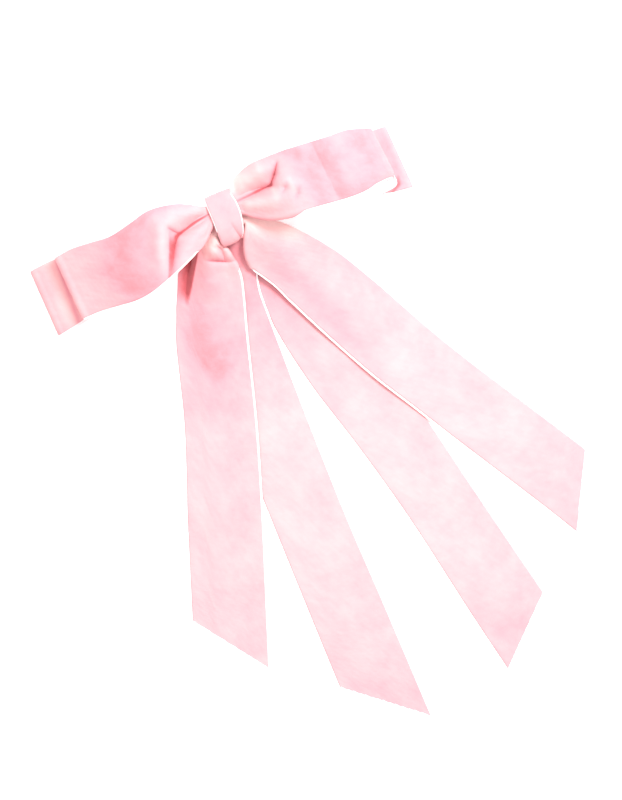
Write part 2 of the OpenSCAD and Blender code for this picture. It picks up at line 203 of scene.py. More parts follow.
def ribbon_mesh(name, grid, a, width, selvedge, materials, nap_and_shade=None, closed=False, up=1.0):
    """A ribbon of real thickness round a grid of points, rows along it and columns across it."""
    rows, cols = grid.shape[:2]
    if closed:
        wide = np.concatenate([grid[-3:], grid, grid[:3]])
        n = grid_normals(wide)[3:-3] * up
    else:
        n = grid_normals(grid) * up
    rim = np.minimum(a, width - a)
    pile = PILE_T * ease((rim - 0.86 * selvedge) / (0.34 * selvedge))
    jitter = 1.0 + 0.10 * wander(np.arange(rows)[:, None] * STEP, a[None, :], 3.2, 5)
    front = grid + n * ((GROUND_T / 2 + pile[None, :] * jitter)[:, :, None])
    back = grid - n * (GROUND_T / 2)
    points = np.concatenate([front.reshape(-1, 3), back.reshape(-1, 3)]) * MM
    points[:, 2] += TABLE
    half = rows * cols
    step = np.linalg.norm(np.diff(grid, axis=0, append=grid[:1]), axis=2)
    run = np.cumsum(np.concatenate([np.zeros((1, cols)), step[:-1]]), axis=0)
    last = rows if closed else rows - 1
    i, j = np.meshgrid(np.arange(last), np.arange(cols - 1), indexing="ij")
    i, j = i.ravel(), j.ravel()
    i2 = (i + 1) % rows
    top = np.stack([i * cols + j, i2 * cols + j, i2 * cols + j + 1, i * cols + j + 1], axis=1)
    if up < 0:
        top = top[:, ::-1]
    under = top[:, ::-1] + half
    k = np.arange(last)
    k2 = (k + 1) % rows
    low = np.stack([k * cols, k * cols + half, k2 * cols + half, k2 * cols], axis=1)
    high = low[:, ::-1] + cols - 1
    if up < 0:
        low, high = low[:, ::-1], high[:, ::-1]
    faces = [top, under, low, high]
    middle = (a[j] + a[j + 1]) / 2
    is_rim = np.minimum(middle, width - middle) < 0.98 * selvedge
    slots = [np.where(is_rim, 1, 0), np.where(is_rim, 1, 2), np.full(2 * last, 1)]
    if not closed:
        m = np.arange(cols - 1)
        first = np.stack([m, m + 1, m + 1 + half, m + half], axis=1)
        end = first[:, ::-1] + (rows - 1) * cols
        if up < 0:
            first, end = first[:, ::-1], end[:, ::-1]
        faces += [first, end]
        slots.append(np.full(2 * (cols - 1), 1))
    faces = np.concatenate(faces)
    mesh = bpy.data.meshes.new(name)
    mesh.from_pydata(points.tolist(), [], faces.tolist())
    mesh.polygons.foreach_set("material_index", np.concatenate(slots).astype(np.int32))
    for material in materials:
        mesh.materials.append(material)
    mesh.polygons.foreach_set("use_smooth", np.ones(len(faces), bool))
    u = np.tile(np.broadcast_to(a, (rows, cols)).ravel(), 2) * MM
    v = np.tile(run.ravel(), 2) * MM
    corner = np.zeros(len(mesh.loops), np.int32)
    mesh.loops.foreach_get("vertex_index", corner)
    layer = mesh.uv_layers.new(name="weave")
    layer.data.foreach_set("uv", np.stack([u[corner], v[corner]], axis=1).ravel().astype(np.float32))
    # tone marks per point: brushing of the pile plus painted shade and painted highlights
    tone = np.zeros((rows, cols)) if nap_and_shade is None else np.broadcast_to(nap_and_shade, (rows, cols))
    store = mesh.attributes.new("nap_and_shade", "FLOAT", "POINT")
    store.data.foreach_set("value", np.tile(tone.ravel(), 2).astype(np.float32))
    mesh.validate()
    mesh.update()
    piece = bpy.data.objects.new(name, mesh)
    bpy.context.scene.collection.objects.link(piece)
    sharp_edges(piece)
    return piece


def sharp_edges(piece, angle=50):
    """Smooth shading that breaks where faces meet at more than the angle, in degrees."""
    bpy.context.view_layer.objects.active = piece
    piece.select_set(True)
    bpy.ops.object.shade_smooth_by_angle(angle=math.radians(angle))
    piece.select_set(False)


def rolled_edge(left, right, a, share, amount, radius=1.5):
    """Rows of points between two edges, with the left edge rolled under by amount, row by row."""
    out = right - left
    out = out / np.linalg.norm(out, axis=1, keepdims=True)
    inner = left + out * np.minimum(amount, radius)[:, None]
    rest = np.clip((a[None, :] - amount[:, None]) / (RIBBON_W - amount[:, None]), 0, 1)
    rest = np.where(amount[:, None] > 0, rest, share)
    points = inner[:, None, :] + (right - inner)[:, None, :] * rest[:, :, None]
    turn = np.minimum(np.clip(amount[:, None] - a[None, :], 0, None) / radius, 2.8)
    points = points - out[:, None, :] * (radius * np.sin(turn))[:, :, None]
    points[:, :, 2] -= radius * (1 - np.cos(turn))
    base = np.where((turn > 0)[:, :, None], inner[:, None, :], points)
    return points, base


def rolled_right_edge(left, right, a, share, amount, radius=1.5):
    points, base = rolled_edge(right, left, a, 1 - share[:, ::-1], amount, radius)
    return points[:, ::-1], base[:, ::-1]


# ------------------------------------------------------------------ materials

def new_material(name):
    material = bpy.data.materials.new(name)
    material.use_nodes = True
    tree = material.node_tree
    return material, tree, tree.nodes["Principled BSDF"]


def weave_coordinates(tree):
    uv = tree.nodes.new("ShaderNodeUVMap")
    uv.uv_map = "weave"
    return uv.outputs["UV"]


def scaled(tree, vector, scale):
    node = tree.nodes.new("ShaderNodeMapping")
    node.inputs["Scale"].default_value = scale
    tree.links.new(vector, node.inputs["Vector"])
    return node.outputs["Vector"]


def noise(tree, vector, scale, detail=2.0, roughness=0.5):
    node = tree.nodes.new("ShaderNodeTexNoise")
    node.inputs["Scale"].default_value = scale
    node.inputs["Detail"].default_value = detail
    node.inputs["Roughness"].default_value = roughness
    tree.links.new(vector, node.inputs["Vector"])
    return node.outputs["Fac"]


def ribs(tree, vector, direction, scale):
    node = tree.nodes.new("ShaderNodeTexWave")
    node.wave_type = "BANDS"
    node.bands_direction = direction
    node.inputs["Scale"].default_value = scale
    node.inputs["Distortion"].default_value = 0.6
    tree.links.new(vector, node.inputs["Vector"])
    return node.outputs["Fac"]


def maths(tree, operation, a, b):
    node = tree.nodes.new("ShaderNodeMath")
    node.operation = operation
    for k, value in enumerate((a, b)):
        if isinstance(value, (int, float)):
            node.inputs[k].default_value = value
        else:
            tree.links.new(value, node.inputs[k])
    return node.outputs[0]


def ramp(tree, fac, low, high, stops=(0.3, 0.7)):
    node = tree.nodes.new("ShaderNodeValToRGB")
    node.color_ramp.elements[0].position = stops[0]
    node.color_ramp.elements[1].position = stops[1]
    node.color_ramp.elements[0].color = (*low, 1)
    node.color_ramp.elements[1].color = (*high, 1)
    tree.links.new(fac, node.inputs["Fac"])
    return node.outputs["Color"]


def blended(tree, fac, stops):
    """A colour ramp through several (place, colour) stops."""
    colour = ramp(tree, fac, stops[0][1], stops[-1][1], (stops[0][0], stops[-1][0]))
    for place, tint in stops[1:-1]:
        colour.node.color_ramp.elements.new(place).color = (*tint, 1)
    return colour


def bump(tree, shader, height, distance, strength=1.0):
    node = tree.nodes.new("ShaderNodeBump")
    node.inputs["Strength"].default_value = strength
    node.inputs["Distance"].default_value = distance
    tree.links.new(height, node.inputs["Height"])
    tree.links.new(node.outputs["Normal"], shader.inputs["Normal"])


def velvet():
    """Cut pile, toned by brushing of the pile and by painted shade and highlights; soft bloom at the edges.
    """
    material, tree, shader = new_material("velvet")
    uv = weave_coordinates(tree)
    pile_and_shade = tree.nodes.new("ShaderNodeAttribute")
    pile_and_shade.attribute_name = "nap_and_shade"
    cloud = noise(tree, scaled(tree, uv, (1.0, 0.8, 1.0)), 62.0, 2.0, 0.5)
    mottle = noise(tree, scaled(tree, uv, (1.0, 0.9, 1.0)), 190.0, 4.0, 0.62)
    streak = noise(tree, scaled(tree, uv, (0.35, 1.0, 1.0)), 520.0, 2.0, 0.6)
    grain = noise(tree, uv, 2600.0, 1.0, 0.5)
    parts = ((cloud, 0.36), (mottle, 0.22), (streak, 0.04), (grain, 0.1), (pile_and_shade.outputs["Fac"], -0.3))
    tone = 0.17
    for layer, share in parts:
        tone = maths(tree, "ADD", maths(tree, "MULTIPLY", layer, share), tone)
    # the deepest stops are reached mostly under painted shade in creases and gaps
    stops = ((0.0, (0.46, 0.10, 0.112)), (0.36, (0.75, 0.295, 0.335)), (0.66, (0.82, 0.415, 0.424)),
             (1.0, (0.87, 0.525, 0.508)))
    colour = blended(tree, tone, stops)
    tree.links.new(colour, shader.inputs["Base Color"])
    shader.inputs["Roughness"].default_value = 0.92
    shader.inputs["Specular IOR Level"].default_value = 0.15
    shader.inputs["Sheen Weight"].default_value = 0.2
    shader.inputs["Sheen Roughness"].default_value = 0.42
    shader.inputs["Sheen Tint"].default_value = (1.0, 0.84, 0.86, 1.0)
    height = maths(tree, "ADD", maths(tree, "MULTIPLY", grain, 0.6), maths(tree, "MULTIPLY", cloud, 1.2))
    bump(tree, shader, height, 0.0004, 0.5)
    return material


def selvedge():
    """The pale woven edge of the ribbon, with fine ribs across it."""
    material, tree, shader = new_material("selvedge")
    uv = weave_coordinates(tree)
    rib = ribs(tree, uv, "Y", 620.0)
    colour = ramp(tree, maths(tree, "ADD", maths(tree, "MULTIPLY", rib, 0.5), noise(tree, uv, 300.0)),
                  (0.88, 0.70, 0.71), (0.98, 0.88, 0.88))
    tree.links.new(colour, shader.inputs["Base Color"])
    shader.inputs["Roughness"].default_value = 0.6
    shader.inputs["Sheen Weight"].default_value = 0.15
    bump(tree, shader, rib, 0.0001, 0.6)
    return material


def satin_back():
    """The woven back of the ribbon, a flat weave with a slight lustre."""
    material, tree, shader = new_material("satin_back")
    uv = weave_coordinates(tree)
    warp = ribs(tree, uv, "X", 520.0)
    weft = ribs(tree, uv, "Y", 640.0)
    woven = maths(tree, "MULTIPLY", warp, weft)
    cloud = noise(tree, uv, 90.0, 3.0)
    colour = ramp(tree, maths(tree, "ADD", maths(tree, "MULTIPLY", woven, 0.3), cloud),
                  (0.90, 0.76, 0.76), (0.96, 0.86, 0.86))
    tree.links.new(colour, shader.inputs["Base Color"])
    shader.inputs["Roughness"].default_value = 0.5
    shader.inputs["Anisotropic"].default_value = 0.3
    bump(tree, shader, woven, 0.00008, 0.6)
    return material


def object_coordinates(tree):
    return tree.nodes.new("ShaderNodeTexCoord").outputs["Object"]


def felt():
    material, tree, shader = new_material("felt")
    place = object_coordinates(tree)
    fibre = noise(tree, scaled(tree, place, (1.0, 1.8, 1.0)), 1500.0, 4.0, 0.7)
    cloud = noise(tree, place, 130.0, 2.0)
    mixed = maths(tree, "ADD", maths(tree, "MULTIPLY", fibre, 0.6), maths(tree, "MULTIPLY", cloud, 0.4))
    colour = ramp(tree, mixed, (0.78, 0.46, 0.49), (0.92, 0.66, 0.68))
    tree.links.new(colour, shader.inputs["Base Color"])
    shader.inputs["Roughness"].default_value = 0.95
    shader.inputs["Sheen Weight"].default_value = 0.3
    bump(tree, shader, fibre, 0.0003, 0.7)
    return material


def thread():
    material, tree, shader = new_material("thread")
    place = object_coordinates(tree)
    ply = ribs(tree, place, "DIAGONAL", 1400.0)
    colour = ramp(tree, ply, (0.82, 0.60, 0.62), (0.95, 0.80, 0.80))
    tree.links.new(colour, shader.inputs["Base Color"])
    shader.inputs["Roughness"].default_value = 0.55
    bump(tree, shader, ply, 0.00006, 0.7)
    return material


def plated_steel(name, low, high, roughness, brush):
    """Nickel-plated sheet: faint brushing along the clip, small scuffs and duller patches."""
    material, tree, shader = new_material(name)
    place = object_coordinates(tree)
    brushing = noise(tree, scaled(tree, place, brush), 900.0, 3.0, 0.6)
    patches = noise(tree, place, 170.0, 3.0, 0.6)
    mixed = maths(tree, "ADD", maths(tree, "MULTIPLY", brushing, 0.5), maths(tree, "MULTIPLY", patches, 0.5))
    tree.links.new(ramp(tree, mixed, low, high), shader.inputs["Base Color"])
    rough = tree.nodes.new("ShaderNodeMapRange")
    rough.inputs["To Min"].default_value = roughness[0]
    rough.inputs["To Max"].default_value = roughness[1]
    tree.links.new(mixed, rough.inputs["Value"])
    tree.links.new(rough.outputs["Result"], shader.inputs["Roughness"])
    shader.inputs["Metallic"].default_value = 1.0
    bump(tree, shader, brushing, 0.00002, 0.5)
    return material


def table_top():
    material, tree, shader = new_material("table_top")
    place = object_coordinates(tree)
    tree.links.new(ramp(tree, noise(tree, place, 9.0, 3.0), (0.90, 0.895, 0.89), (0.93, 0.925, 0.92)),
                   shader.inputs["Base Color"])
    shader.inputs["Roughness"].default_value = 0.8
    shader.inputs["Emission Color"].default_value = (1.0, 1.0, 1.0, 1.0)
    shader.inputs["Emission Strength"].default_value = 0.4
    return material


# ------------------------------------------------------------------ the bow's loops

# Heights of the knot's layers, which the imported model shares
KNOT_LOW = 21.72                        # the lowest ribbon at the knot
LAYER = 1.1                             # from one ribbon to the next where they are pressed together
PILE_GAP = 0.8                          # extra room where the two loops' piles face each other
LOWER_OPEN = 7.6 - PILE_GAP             # how wide open a loop is
UPPER_OPEN = 8.0
DROOP = KNOT_LOW - 1.2                  # how fast the loops sink away from the knot
END_PINCH = 2.6                         # how much flatter a loop is at its fold


# Heights of the plies at u millimetres out from the knot's middle

def lower_bottom(u):
    return KNOT_LOW - DROOP * (1 - np.cos(np.radians(np.maximum(u - 8, 0))))


def lower_top(u):
    opening = (LOWER_OPEN - LAYER) * ease((u - 8) / 34)
    return lower_bottom(u) + LAYER + opening - END_PINCH * ease((u - 58) / 34)


def upper_bottom(u):
    return lower_top(u) + LAYER + PILE_GAP * ease((u - 8) / 26)


def upper_top(u):
    opening = (UPPER_OPEN - LAYER) * ease((u - 8) / 30)
    return upper_bottom(u) + LAYER + opening - END_PINCH * ease((u - 56) / 28)


def loop_side(bottom, top, reach):
    """Side view of a loop as (u, height, place): out along the bottom ply, round the fold, back on top.

    place goes from -1 on the bottom ply to 1 on the top ply."""
    out = np.array([0.3, 5, 8, 10, 13, 17, 22, 28, 34, 42, 50, 58, 66, reach - 9, reach - 5.5])
    mid = float(bottom(reach - 3) + top(reach - 3)) / 2
    half = float(top(reach - 3) - bottom(reach - 3)) / 2
    fold = [(reach - 3 + 3 * math.cos(turn), mid + half * math.sin(turn), math.sin(turn))
            for turn in np.radians([-90, -62, -32, 0, 32, 62, 90])]
    lower = [(u, float(bottom(u)), -1) for u in out]
    upper = [(u, float(top(u)), 1) for u in out[::-1]]
    return lower + fold + upper


def bow_ribbon(name, right, left, edges, tilt, under, features, nap_and_shade_marks, materials,
               roll_along=((0, 1), (0, 0))):
    """One ribbon that makes a pair of loops, from its seam under the knot and back to it.

    edges holds the upper and lower plan edge of the top ply, then of the bottom ply.
    """
    path = right + [(-u, h, place) for u, h, place in reversed(left)]
    rows = even_curve(path, STEP)
    x0, z0, place = rows[:, 0], rows[:, 1], np.clip(rows[:, 2], -1, 1)
    top = ease((place + 1) / 2)
    a = columns(RIBBON_W, SELVEDGE, 0.5)
    (top_high, top_low), (bottom_high, bottom_low) = edges
    high = top * edge_at(top_high, x0) + (1 - top) * edge_at(bottom_high, x0) - INSET
    low = top * edge_at(top_low, x0) + (1 - top) * edge_at(bottom_low, x0) + INSET
    share = across_share(a, RIBBON_W, high - low, SELVEDGE)
    y = low[:, None] + (high - low)[:, None] * share
    lean = np.where(x0 < 0, tilt[0], tilt[1]) * ease((np.abs(x0) - 45) / 35)
    x = x0[:, None] + lean[:, None] * (share - 0.5)
    z = np.broadcast_to(z0[:, None], x.shape)
    roll = np.where(top > 0.5, np.interp(x0, *roll_along), 0)
    ends = [np.stack([x[:, k], y[:, k], z[:, k]], axis=1) for k in (0, -1)]
    points, base = rolled_edge(ends[0], ends[1], a, share, roll)
    base_x, base_y = base[:, :, 0], base[:, :, 1]
    out = ease((np.abs(base_x) - 7.2) / 5)
    lift = out * top[:, None] * relief(base_x, base_y, features)
    room = (z0 - under(np.abs(x0)))[:, None] * top[:, None]
    lift = np.maximum(lift, -np.maximum(room - 1.4, 0))
    x, y, z = points[:, :, 0], points[:, :, 1], points[:, :, 2] + lift
    z = z + 0.22 * wander(x, y, 26, 11) * ease((np.abs(x) - 25) / 20)
    z = z - 0.5 * (2 * share - 1) ** 4 * top[:, None] * ease((np.abs(x) - 20) / 15)
    # tone marks on the top ply: brushing of the pile plus painted shade and painted highlights
    nap_and_shade = relief(x, y, nap_and_shade_marks) * top[:, None]
    return ribbon_mesh(name, np.stack([x, y, z], axis=2), a, RIBBON_W, SELVEDGE, materials, nap_and_shade, up=-1.0)


# Plan edges of the plies as (x, y), a little outside the ribbon itself
UPPER_HIGH = [(-90, 12.2), (-84, 12.2), (-75, 12.9), (-65, 11.9), (-56, 11), (-45, 12.9), (-35, 15.2),
              (-26, 14.6), (-18, 12), (-12, 8.4), (-7, 6.4), (0, 6), (5.4, 9), (8, 12.6), (13.4, 15.8),
              (20, 17.8), (30, 18), (45, 17.4), (60, 16.4), (70, 16.2), (78, 14.2), (86, 11.4)]
UPPER_LOW = [(-90, -23.6), (-84, -23.8), (-75, -23.7), (-65, -24.8), (-56, -25.8), (-47, -25),
             (-37, -21.9), (-29, -18.8), (-20, -14.6), (-14, -10.6), (-8, -5.2), (0, -4.2), (7, -4.6),
             (13, -9), (20, -13), (28, -15.2), (38, -16.2), (50, -17.4), (60, -18.2), (67, -17.8),
             (73, -16.2), (80, -15.6), (86, -16)]
UPPER_UNDER_LOW = [(-90, -22.6), (-75, -23), (-56, -25), (-40, -21.4), (-20, -13.8), (-8, -5), (0, -4.2),
                   (8, -4.6), (20, -12), (38, -15.6), (58, -16.6), (66, -17), (70, -18.4), (73, -20.8),
                   (80, -20.2), (86, -18)]
UPPER_UNDER_HIGH = [(-90, 11.6), (-56, 10.4), (-35, 13.6), (-12, 7.6), (0, 5.6), (11, 9.5), (30, 16.4),
                    (60, 15.4), (86, 11)]

LOWER_HIGH = [(-104, 10.4), (-88, 12), (-60, 10.4), (-36, 12), (-20, 10), (-9, 6.4), (0, 5.6), (5, 8),
              (9, 11), (13, 14), (20, 15.4), (28, 15.8), (40, 15), (66, 13.6), (80, 12.2), (94, 11.6)]
LOWER_LOW = [(-104, -26.8), (-97, -26.2), (-86, -24.4), (-76, -22.6), (-60, -23.2), (-36, -19),
             (-20, -12), (-9, -5.4), (0, -5), (9, -4.6), (20, -10.6), (40, -14.6), (56, -15.8),
             (66, -16.4), (69, -17.2), (72, -19.4), (74, -21.2), (77, -22.6), (82, -23.4), (94, -24.6)]

# Ridges and valleys of the upper loops' top plies, as seen from above
UPPER_RELIEF = [
    # left: two lobes gathered at the knot, the valley between them, and the fold that runs down from it
    ("round", [(-9, 4.6), (-16, 5.8), (-24, 6.4), (-30.6, 4), (-34.6, -4), (-36.6, -10), (-39.4, -18)],
     [1.6, 3.4, 3.8, 3.6, 3.2, 2.4, 1.2], [2.8, 3.8, 4.8, 5.0, 4.6, 4.6, 5.0]),
    ("round", [(-9, -1.6), (-14, -4.2), (-20, -8), (-26, -12.6)],
     [1.4, 2.8, 2.8, 1.2], [2.4, 3.2, 3.8, 4.0]),
    ("cusp", [(-7, 1.4), (-13, 0.6), (-19, -0.8), (-24, -2.4)],
     [-1.6, -3.6, -4.2, -4.2], [1.0, 1.4, 1.6, 1.8]),
    ("cusp", [(-24, -2.4), (-27.4, 0.4), (-28.8, 3)], [-2.2, -3.0, -0.8], [1.3, 1.5, 1.0]),
    ("cusp", [(-25.6, -2.6), (-29, -7), (-31.6, -12), (-34, -17), (-36, -21)],
     [-3.6, -4.8, -4.2, -3.0, -1.6], [2.2, 2.6, 2.8, 2.8, 2.8]),
    ("round", [(-64, 13), (-68, -6), (-64, -26)], [-2.0, -2.4, -2.2], [13, 14, 13]),
    ("round", [(-52, 12), (-55, -6), (-54, -26)], [-0.4, -0.6, -0.6], [5, 5, 5]),
    # right: an upper lobe, the valley under it that turns up, and two dimples
    ("round", [(9, 7), (15, 10), (22, 11.4), (29, 10)], [1.4, 3.4, 3.8, 1.8], [3.0, 4.0, 4.6, 4.2]),
    ("round", [(9, -0.4), (16, -2.6), (24, -4.4), (31, -5)], [1.6, 3.2, 3.2, 1.6], [2.6, 3.6, 4.4, 5.0]),
    ("cusp", [(7, 2.2), (13, 2.6), (20, 3.2), (25.4, 3)], [-1.6, -3.6, -4.4, -3.6], [1.0, 1.3, 1.5, 1.4]),
    ("cusp", [(25, 3), (28.6, 7), (32, 11.6)], [-3.2, -4.2, -1.8], [1.4, 1.7, 1.3]),
    ("cusp", [(29.6, -2.6), (31.6, -0.8), (33.8, 1)], [-0.4, -1.6, -0.4], [0.9, 1.4, 0.9]),
    ("cusp", [(34, -8), (36.4, -5.4), (38.2, -2.8)], [-0.4, -1.7, -0.4], [1.0, 1.5, 1.0]),
    ("round", [(28, 4.4), (33, 1.4), (37, -2), (39, -9)], [0.8, 1.6, 1.4, 0.5], [3, 3, 3, 3]),
    ("round", [(49, 17), (52, 0), (54, -18)], [-1.5, -1.9, -1.5], [7, 7, 7]),
    ("round", [(66, 17), (68, 0), (68, -20)], [0.7, 0.8, 0.7], [9, 9, 9]),
    ("round", [(62, -20), (70, -19), (76, -17.4), (82, -17)], [-0.4, -2.6, -4.4, -4.2], [3.4, 4, 4, 4]),
]
# How much of the top ply's near edge is rolled under, against x
UPPER_ROLL = ((-23, -18, -9, -6, 5, 7, 30, 40), (0, 2.8, 3.2, 0, 0, 4.5, 3.5, 0))
# Tone marks on the upper loops, positive is deeper in tone: brushing of the pile, painted shade in
# creases, valleys and dimples, and painted highlights on the lit ridges and lobes
UPPER_NAP_AND_SHADE = [
    ("round", [(-52, 12), (-54, -4), (-52, -24)], [0.8, 0.9, 0.8], [11, 12, 12]),
    # painted highlight along the lit ridge of the left lobes and the fold
    ("round", [(-8, 4.5), (-15.5, 5.8), (-25, 5.8), (-31, 3), (-34.8, -5), (-37.2, -15)],
     [-0.4, -0.3, -0.25, -0.3, -0.45, -0.3], [1.5, 1.8, 2.0, 2.0, 2.1, 2.0]),
    # painted shade on the wall beside the left valley
    ("brush", [(-36.8, -18), (-31.6, -5.2), (-28.2, 3.2)], [0.9, 1.2, 1.2, 0.0], [4.5, 4.5, 3.5]),
    # painted shade on the slope along the left loop's upper edge
    ("round", [(-14, 10), (-22, 12.4), (-32, 12.6), (-42, 10.6)],
     [0.4, 0.6, 0.6, 0.4], [2.2, 2.6, 3.0, 3.4]),
    # painted shade in the creases at the left of the knot
    ("round", [(-8, 1.6), (-15, 0.5), (-23, -1.4), (-26.4, -3)], [1.2, 2.2, 2.8, 2.4], [0.6, 0.7, 0.8, 1.1]),
    ("round", [(-24, -2.2), (-28.4, 2.4)], [1.2, 0.9], [0.9, 0.8]),
    ("round", [(-26.4, -3), (-30, -8), (-33, -13.6), (-35.6, -19)],
     [1.4, 0.8, 0.5, 0.2], [1.3, 1.8, 2.0, 2.0]),
    # a deeper band on the right loop, partly brushing of the pile and partly painted shade
    ("brush", [(53.8, -20), (50.6, 20)], [0.32, 0.38], [12, 12]),
    ("round", [(49.5, 18), (53, 4), (57, -6), (56.5, -19)], [0.25, 0.3, 0.35, 0.35], [4, 5, 5, 5]),
    ("round", [(59, 14), (62, -2), (63, -17)], [0.25, 0.3, 0.3], [7, 8, 7]),
    ("round", [(-42, 8), (-41, -4)], [0.35, 0.35], [5, 5]),
    # painted highlight on the puffed lobe beside the wrap
    ("round", [(8.4, 10), (11.4, 12)], [-1.6, -1.4], [2.6, 2.8]),
    # painted shade that softens the light ridge beside the band
    ("round", [(44, 15), (47, -15)], [0.4, 0.5], [7, 7]),
    ("round", [(76, 15), (74, -17)], [0.7, 0.45], [9, 8]),
    ("round", [(14, -8), (26, -11)], [0.2, 0.1], [3, 3]),
    # painted highlights on the right lobes and between the dimples
    ("round", [(10, 7.5), (15, 9.5), (22, 10.5)], [-0.7, -1.1, -0.9], [3.0, 3.4, 3.8]),
    ("round", [(12, -1.5), (17, -2.8), (25, -5.2)], [-0.7, -0.6, -0.4], [2.0, 2.4, 2.6]),
    ("round", [(26, 0.8), (26.2, -3.6)], [-0.7, -0.5], [1.3, 1.4]),
    ("round", [(34.6, 2), (35, -4)], [-0.4, -0.4], [1.2, 1.2]),
    ("round", [(36, 17), (42, 12)], [0.6, 0.5], [4, 4]),
    ("round", [(44, -4), (47, -14)], [0.25, 0.3], [6, 6]),
    # painted shade in the right valley, its branch and the dimples
    ("round", [(8, 2.4), (14, 2.7), (20, 3.2), (25.4, 3)], [1.0, 1.5, 1.8, 1.8], [0.8, 0.9, 1.0, 1.2]),
    ("round", [(25.4, 3), (28.6, 7), (32, 11.6)], [1.8, 1.8, 1.2], [1.2, 1.3, 1.0]),
    ("round", [(30, -2.2), (33, 0.6)], [0.45, 0.45], [1.3, 1.2]),
    ("round", [(35, -7), (37.6, -3.4)], [0.45, 0.4], [1.4, 1.3]),
]
# Painted shading on the lower loops: a lighter strip at the left end, painted shadow lines beside the upper
# loops' folds, and a painted dark line under the right upper loop's lower edge
LOWER_PAINTED_SHADING = [("round", [(-88.6, 10), (-90, -24)], [-0.6, -0.6], [3.4, 3.4]),
             ("round", [(-85.2, 10), (-86.4, -24)], [0.9, 0.9], [1.0, 1.0]),
             ("round", [(85, 12), (85, -22)], [0.5, 0.5], [3, 3]),
             ("round", [(84.5, -15.5), (83.6, -18.8), (79.5, -21.2), (74, -22)],
              [0.6, 1.2, 1.5, 1.5], [0.9, 1.0, 1.1, 1.0])]


def make_loops(materials):
    right, left = (loop_side(upper_bottom, upper_top, reach) for reach in (82.0, 84.2))
    upper = bow_ribbon("upper_bow", right, left,
                       ((UPPER_HIGH, UPPER_LOW), (UPPER_UNDER_HIGH, UPPER_UNDER_LOW)), (-1.6, -2.6),
                       upper_bottom, UPPER_RELIEF, UPPER_NAP_AND_SHADE, materials, UPPER_ROLL)
    right, left = (loop_side(lower_bottom, lower_top, reach) for reach in (88.8, 98.6))
    lower = bow_ribbon("lower_bow", right, left,
                       ((LOWER_HIGH, LOWER_LOW), (LOWER_HIGH, LOWER_LOW)), (-1.2, -1.6),
                       lower_bottom, [], LOWER_PAINTED_SHADING, materials)
    for piece, node, length in ((upper, "upper_bow_ribbon", 0.345), (lower, "lower_bow_ribbon", 0.39)):
        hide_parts(node)
        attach(piece, "bow")


# ------------------------------------------------------------------ tails

TAIL_ROWS = 1200                        # rows of a tail before they are spaced out evenly


def tail(name, node, rows, cut, features, nap_and_shade_marks, materials,
         rolling=rolled_edge, roll=((0, 0), (-1, 0))):
    """A tail from its rows, each (left x, y, height, right x, y, height), cut off along a slanted line."""
    a = columns(RIBBON_W, SELVEDGE, 0.65)
    rows = np.asarray(rows, float)
    fine = spline(rows, np.linspace(0, len(rows) - 1, TAIL_ROWS))
    left, right = fine[:, :3], fine[:, 3:]
    span = np.linalg.norm((right - left)[:, :2], axis=1, keepdims=True)
    left, right = left + (right - left) * INSET / span, right - (right - left) * INSET / span
    share = across_share(a, RIBBON_W, span[:, 0] - 2 * INSET, SELVEDGE)
    from_y = np.array(roll, float)[::-1]
    amount = np.interp(left[:, 1] if rolling is rolled_edge else right[:, 1], from_y[:, 0], from_y[:, 1])
    points, base = rolling(left, right, a, share, amount)
    (x0, y0), (x1, y1) = cut
    side = (points[:, :, 0] - x0) * (y1 - y0) - (points[:, :, 1] - y0) * (x1 - x0)
    side = side * np.sign(side[TAIL_ROWS // 2, len(a) // 2])
    end = np.array([np.argmax(side[TAIL_ROWS // 4:, j] < 0) + TAIL_ROWS // 4 for j in range(len(a))])
    points[:, :, 2] = np.maximum(points[:, :, 2] + relief(base[:, :, 0], base[:, :, 1], features), FLAT)
    strides = np.linalg.norm(np.diff(points, axis=0), axis=2)
    middle = np.concatenate([np.zeros((1, len(a))), np.cumsum(strides, axis=0)])[:, len(a) // 2]
    # rows are square to the tail at first, and from 40 fine rows before the cut they turn to its slant
    square = middle[end.min() - 40]
    even = np.interp(np.linspace(0, square, int(square / STEP)), middle, np.arange(TAIL_ROWS))
    tip_rows = int((middle[end.max()] - square) / STEP) + 2
    grid = np.zeros((len(even) + tip_rows, len(a), 3))
    for j in range(len(a)):
        at = np.concatenate([even, np.linspace(even[-1], end[j], tip_rows + 1)[1:]])
        for k in range(3):
            grid[:, j, k] = np.interp(at, np.arange(TAIL_ROWS), points[:, j, k])
    x, y = grid[:, :, 0], grid[:, :, 1]
    ripple = np.maximum(1 + wander(x, y, 46, sum(map(ord, name))), 0)
    grid[:, :, 2] += 0.28 * ripple * ease((-40 - y) / 30)
    # tone marks: mottled pile tone plus painted shade and painted light
    piece = ribbon_mesh(name, grid, a, RIBBON_W, SELVEDGE, materials, relief(x, y, nap_and_shade_marks), up=1.0)
    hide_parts(node)
    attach(piece, "bow")


FLAT = GROUND_T / 2 + 0.05               # height of a ribbon that lies on the table

